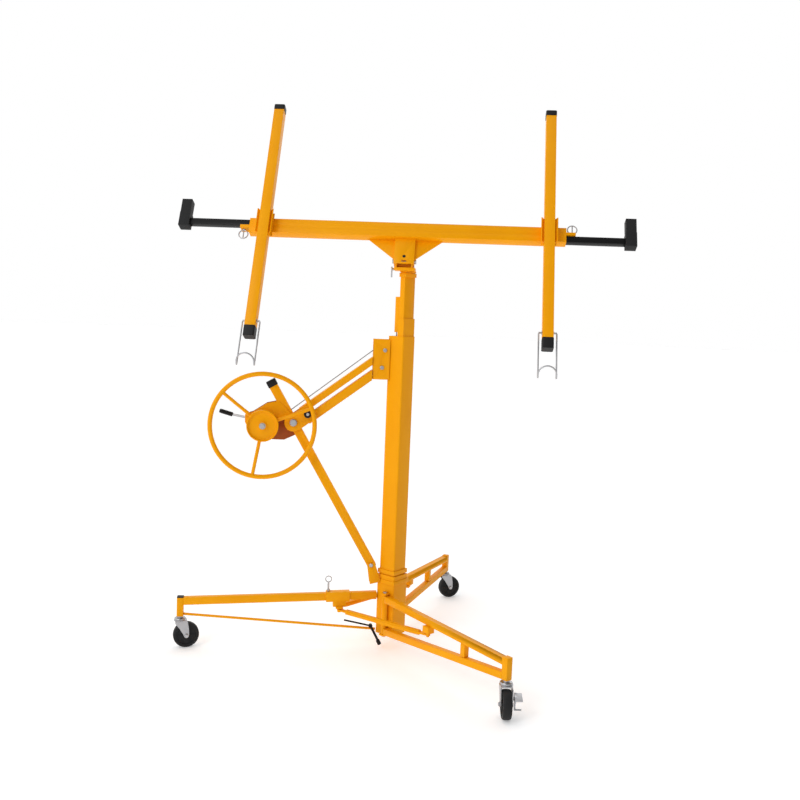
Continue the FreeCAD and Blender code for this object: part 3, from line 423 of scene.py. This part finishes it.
# ------------------------------------------------------------------ bolts
# centre, half grip, shank diameter, head across flats, head height (mm)
bm = bmesh.new()
BOLTS = ((K, 24.9, 13.9, 26, 9), (B(-66, 0, 1212), 14.1, 9.9, 14, 5),
         (B(-76, 0, 1143), 14.1, 9.9, 14, 5), (B(-90, 0, 345), 21.1, 9.9, 14, 5))
for c, half, shank, across, tall in BOLTS:
    disc_bm(bm, shank / 2000, 2 * half / 1000, c - YB * half / 1000, YB, 0.0002, 24)
    for s in (-1, 1):
        p = c + YB * (s * half / 1000)
        disc_bm(bm, across / 2000 * 1.12, 0.0016, p, YB * s, 0.0004)
        hexhead(bm, p + YB * (s * 0.0015), YB * s, across / 1000, (tall - 1.6) / 1000)
for s in (-1, 1):
    c = B(-32, s * 50, 64.9)
    disc_bm(bm, 0.00595, 0.1752, c, UPZ, 0.0002, 24)
    hexhead(bm, c, -UPZ, 0.016, 0.0049)
    hexhead(bm, c + UPZ * 0.1752, UPZ, 0.016, 0.0049)
bolts = from_bm("v_frame_bolts", bm, "base", "zinc", 30)
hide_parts("frame_bolts")
bm = bmesh.new()
c = C(0, 0, 0)
ax = CV(1, 0, 0)
disc_bm(bm, 0.00595, 0.0792, c - ax * 0.0396, ax, 0.0002, 24)
for s in (-1, 1):
    disc_bm(bm, 0.0093, 0.0014, c + ax * (s * 0.0396), ax * s, 0.0004)
    hexhead(bm, c + ax * (s * 0.041), ax * s, 0.016, 0.0055)
bolt = from_bm("v_tilt_bolt", bm, "head", "zinc", 30)
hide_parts("tilt_bolt")

# dark plug in the port of the yoke's web
bm = bmesh.new()
disc_bm(bm, 0.0063, 0.0032, C(0, 8, 25.4), CV(0, 0, 1), 0.0005, 32)
from_bm("yoke_plug", bm, "cradle", "black_plastic")

# ------------------------------------------------------------------ cradle wire and rubber
for side, name in ((-1, "left"), (1, "right")):
    cx = side * ARM_X
    low, high, mid = -375.0, 652.0, 69.3
    back = Vector((0, 0.78, 0.62)) / Vector((0, 0.78, 0.62)).length
    y0, tip = low + 66, low + 66 - 180
    top = Vector((0, tip, mid)) + back * 16
    pts = [Vector((cx - 20, y0, mid)), Vector((cx - 33, y0, mid)), Vector((cx - 33, tip, mid)),
           Vector((cx - 33, top.y, top.z))]
    path = [C(*p) for p in pts]
    path = round_path(path, 0.008)
    n = 20
    for i in range(1, n):
        t = math.pi * (1 - i / n)
        p = Vector((cx + 33 * math.cos(t), top.y, top.z)) + back * (33 * math.sin(t))
        path.append(C(*p))
    right = [C(2 * cx - p.x, p.y, p.z) for p in pts]
    path += list(reversed(round_path(right, 0.008)))
    bm = bmesh.new()
    sweep(bm, path, 0.003, 14)
    sweep(bm, [C(cx - 33, y0, mid), C(cx + 33, y0, mid)], 0.0036, 14)
    for s in (-1, 1):
        disc_bm(bm, 0.008, 0.0016, C(cx + s * 20.6, y0, mid), CV(s, 0, 0), 0.0004)
    hook = from_bm("v_panel_hook_" + name, bm, "panel_hook_" + name, "zinc")
    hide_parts("panel_hook_" + name)
    # rounded black end caps
    bm = bmesh.new()
    for y, tall in ((low + 21, 42.0), (high - 12, 24.0)):
        rtube(bm, 0.043, 0.043, 0.006, 0, C(cx, y - tall / 2 + 1.5, mid),
              C(cx, y + tall / 2 - 1.5, mid), CV(0, 0, 1))
        for s in (-1, 1):
            rtube(bm, 0.0395, 0.0395, 0.0045, 0, C(cx, y + s * (tall / 2 - 1.5), mid),
                  C(cx, y + s * tall / 2, mid), CV(0, 0, 1))
    caps = from_bm("v_crossarm_caps_" + name, bm, "crossarm_" + name, "black_plastic")
    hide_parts("crossarm_caps_" + name)
    soften("outrigger_end_" + name, 0.004, 4)
    # ring screw
    sx, edge = side * SCREW_X, BAR_Y - side * 13.6 + side * 12.5
    b0 = edge + side * 16.5
    bm = bmesh.new()
    axis = CV(0, side, 0)
    disc_bm(bm, 0.004, 0.0163, C(sx, edge + side * 0.4, 25), axis, 0.0005, 24)
    disc_bm(bm, 0.007, 0.0036, C(sx, edge + side * 12.9, 25), axis, 0.0012, 32)
    ring = [C(sx + 18 * math.cos(t), b0 + side * 18 + 18 * math.sin(t), 25)
            for t in [2 * math.pi * i / 48 for i in range(48)]]
    sweep(bm, ring, 0.0024, 12, closed=True)
    sweep(bm, [C(sx, b0, 25), C(sx, b0 + side * 36, 25)], 0.0024, 12)
    screw = from_bm("v_ring_screw_" + name, bm, "ring_screw_" + name, "zinc")
    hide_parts("ring_screw_" + name)

# ------------------------------------------------------------------ casters
out_x, out_y = FRONT_REACH * math.cos(FRONT_ANGLE), FRONT_REACH * math.sin(FRONT_ANGLE)
CASTERS = (("rear", B(-REAR_REACH, 0, 0), 12.0), ("front", B(out_x, -out_y, 0), -96.0),
           ("back", B(out_x, out_y, 0), 14.0))
TYRE = [(0.0042, -0.0165), (0.012, -0.0165), (0.013, -0.0150), (0.013, -0.0120),
        (0.036, -0.0115), (0.038, -0.0150), (0.043, -0.0160), (0.0475, -0.0150),
        (0.0500, -0.0115), (0.0510, -0.0060), (0.0510, 0.0060), (0.0500, 0.0115),
        (0.0475, 0.0150), (0.043, 0.0160), (0.038, 0.0150), (0.036, 0.0115), (0.013, 0.0120),
        (0.013, 0.0150), (0.012, 0.0165), (0.0042, 0.0165)]
RACE = [(0.001, 0.1085), (0.023, 0.1085), (0.0245, 0.110), (0.0245, 0.1125), (0.0215, 0.1140),
        (0.0225, 0.1155), (0.0225, 0.1190), (0.0205, 0.1215), (0.011, 0.1220), (0.011, 0.1276),
        (0.001, 0.1276)]
CHEEK = ((-20, 110.5, 19.0), (26, 110.5, 19.0), (29, 104, 22.0), (33, 80, 22.0),
         (34.5, 56, 22.0), (31, 45, 22.0), (24, 41, 22.0), (17, 45, 22.0), (11, 58, 22.0),
         (-4, 82, 22.0), (-20, 102, 22.0))
for name, at, ang in CASTERS:
    rot = Matrix.Rotation(math.radians(ang), 3, "Z")
    go = lambda x, y, z: at + rot @ (Vector((x, y, z)) / 1000)
    ax = rot @ YB
    hub = go(24, 0, 51)
    # tyre with a crowned tread
    bm = bmesh.new()
    lathe(bm, TYRE, hub, ax, 96)
    for s in (-1, 1):
        for k in range(6):
            a = k * math.pi / 3
            e1 = rot @ Vector((math.cos(a), 0, math.sin(a)))
            rtube(bm, 0.004, 0.003, 0.0008, 0, hub + e1 * 0.0125 + ax * (s * 0.0122),
                  hub + e1 * 0.0372 + ax * (s * 0.0122), ax)
    wheel = from_bm("v_caster_wheel_" + name, bm, "caster_wheel_" + name, "rubber", 40)
    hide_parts("caster_wheel_" + name)
    # pressed fork: race, crown with rounded shoulders and two tapering legs
    bm = bmesh.new()
    lathe(bm, RACE, at, UPZ, 64)
    for s in (-1, 1):
        outer = [bm.verts.new(go(x, s * y, z)) for x, z, y in CHEEK]
        inner = [bm.verts.new(go(x, s * (y - 3.2), z)) for x, z, y in CHEEK]
        k = len(outer)
        bm.faces.new(outer)
        bm.faces.new(list(reversed(inner)))
        for i in range(k):
            j = (i + 1) % k
            bm.faces.new((outer[i], outer[j], inner[j], inner[i]))
        p = go(24, s * 22.0, 51)
        disc_bm(bm, 0.009, 0.0014, p, ax * s, 0.0004)
        low = name == "front" and s > 0     # the pedal's link passes this head
        hexhead(bm, p + ax * (s * 0.0012), ax * s, 0.013, 0.0009 if low else 0.0042)
    rtube(bm, 0.0415, 0.004, 0.0015, 0, go(-20, 0, 110.4), go(26, 0, 110.4), UPZ)
    disc_bm(bm, 0.004, 0.044, hub - ax * 0.022, ax, 0.0002, 20)
    fork = from_bm("v_caster_fork_" + name, bm, "caster_fork_" + name, "zinc", 40)
    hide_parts("caster_fork_" + name)

# collar pin with a pull ring
PX = -212 - 46
pz = 217.0 + (PX + 62.4) / (-(REAR_REACH - 12.5) + 62.4) * (190 - 217) + 15 + 0.8
bm = bmesh.new()
lathe(bm, [(0.0002, 0.0), (0.0030, 0.0), (0.0039, 0.001), (0.0039, 0.008), (0.0068, 0.0085),
           (0.0068, 0.0138), (0.0039, 0.0142), (0.0039, 0.040), (0.0036, 0.044), (0.0002, 0.0455)],
      B(PX, 0, pz), UPZ, 32)
sweep(bm, [B(PX + 12 * math.cos(t), 0, pz + 55 + 12 * math.sin(t))
           for t in [2 * math.pi * i / 40 for i in range(40)]], 0.0019, 10, closed=True)
pin = from_bm("v_collar_pin", bm, "collar_pin", "zinc")
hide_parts("collar_pin")

# ------------------------------------------------------------------ stage, light and camera
STAGE_R = 60.0


def set_piece(name, bm, material, glow):
    """Piece of the studio with an even glow."""
    mesh = bpy.data.meshes.new(name)
    bm.to_mesh(mesh)
    bm.free()
    obj = bpy.data.objects.new(name, mesh)
    bpy.context.scene.collection.objects.link(obj)
    for n in material.node_tree.nodes:
        if n.type == "BSDF_PRINCIPLED":
            n.inputs["Emission Color"].default_value = (1.0, 1.0, 1.0, 1)
            n.inputs["Emission Strength"].default_value = glow
    obj.data.materials.append(material)
    return obj


bm = bmesh.new()
bmesh.ops.create_circle(bm, cap_ends=True, radius=STAGE_R, segments=96)
floor = set_piece("floor", bm, shader("floor", (0.95, 0.95, 0.95), 0.7, grain=0.05, scale=3,
                                      spec=0.1), 0.28)
floor.location = (0, 0, -0.0005)
# white surround, seen by the camera only
bm = bmesh.new()
bmesh.ops.create_uvsphere(bm, u_segments=48, v_segments=24, radius=STAGE_R - 2)
surround = set_piece("surround", bm, shader("surround", (0.0, 0.0, 0.0), 1.0, spec=0.0), 1.0)
surround.visible_diffuse = False
surround.visible_glossy = False
surround.visible_transmission = False
surround.visible_volume_scatter = False
surround.visible_shadow = False

# even light, weaker from the right and front
world = bpy.data.worlds.new("studio")
bpy.context.scene.world = world
world.use_nodes = True
wt = world.node_tree
bg = wt.nodes["Background"]
coord = wt.nodes.new("ShaderNodeTexCoord")
side = wt.nodes.new("ShaderNodeVectorMath")
side.operation = "DOT_PRODUCT"
side.inputs[1].default_value = (0.707, -0.707, 0.0)
wt.links.new(coord.outputs["Generated"], side.inputs[0])
shade = wt.nodes.new("ShaderNodeMapRange")
shade.interpolation_type = "SMOOTHSTEP"
shade.inputs["From Min"].default_value = 0.0
shade.inputs["From Max"].default_value = 0.6
shade.inputs["To Min"].default_value = 1.0
shade.inputs["To Max"].default_value = 0.26
wt.links.new(side.outputs["Value"], shade.inputs["Value"])
wt.links.new(shade.outputs["Result"], bg.inputs["Strength"])
bg.inputs["Color"].default_value = (1.0, 1.0, 1.0, 1)


def area(name, at, aim, size, power):
    """Rectangular lamp at a place, aimed at a point."""
    data = bpy.data.lights.new(name, "AREA")
    data.shape = "RECTANGLE"
    data.size, data.size_y = size
    data.energy = power
    obj = bpy.data.objects.new(name, data)
    bpy.context.scene.collection.objects.link(obj)
    obj.location = at
    obj.rotation_euler = (Vector(aim) - Vector(at)).to_track_quat("-Z", "Y").to_euler()


area("key", (-3.0, -3.2, 3.6), (0, 0, 1.0), (1.6, 1.6), 45)
area("rim", (1.5, 3.4, 3.4), (0, 0, 1.2), (2.4, 1.6), 8)

EYE = Vector((-0.4128, -3.5438, 1.3520))
data = bpy.data.cameras.new("camera")
data.sensor_width = 36.0
data.lens = 40.5
cam = bpy.data.objects.new("camera", data)
bpy.context.scene.collection.objects.link(cam)
yaw, pitch, roll = (math.radians(v) for v in (-6.663, 5.368, 2.303))
fwd = Vector((-math.sin(yaw), math.cos(yaw), 0))
right = Vector((math.cos(yaw), math.sin(yaw), 0))
look = fwd * math.cos(pitch) - UPZ * math.sin(pitch)
up = UPZ * math.cos(pitch) + fwd * math.sin(pitch)
r3 = right * math.cos(roll) + up * math.sin(roll)
u3 = up * math.cos(roll) - right * math.sin(roll)
cam.matrix_world = Matrix(((r3.x, u3.x, -look.x, EYE.x), (r3.y, u3.y, -look.y, EYE.y),
                           (r3.z, u3.z, -look.z, EYE.z), (0, 0, 0, 1)))
bpy.context.scene.camera = cam
bpy.context.scene.view_settings.view_transform = "Standard"
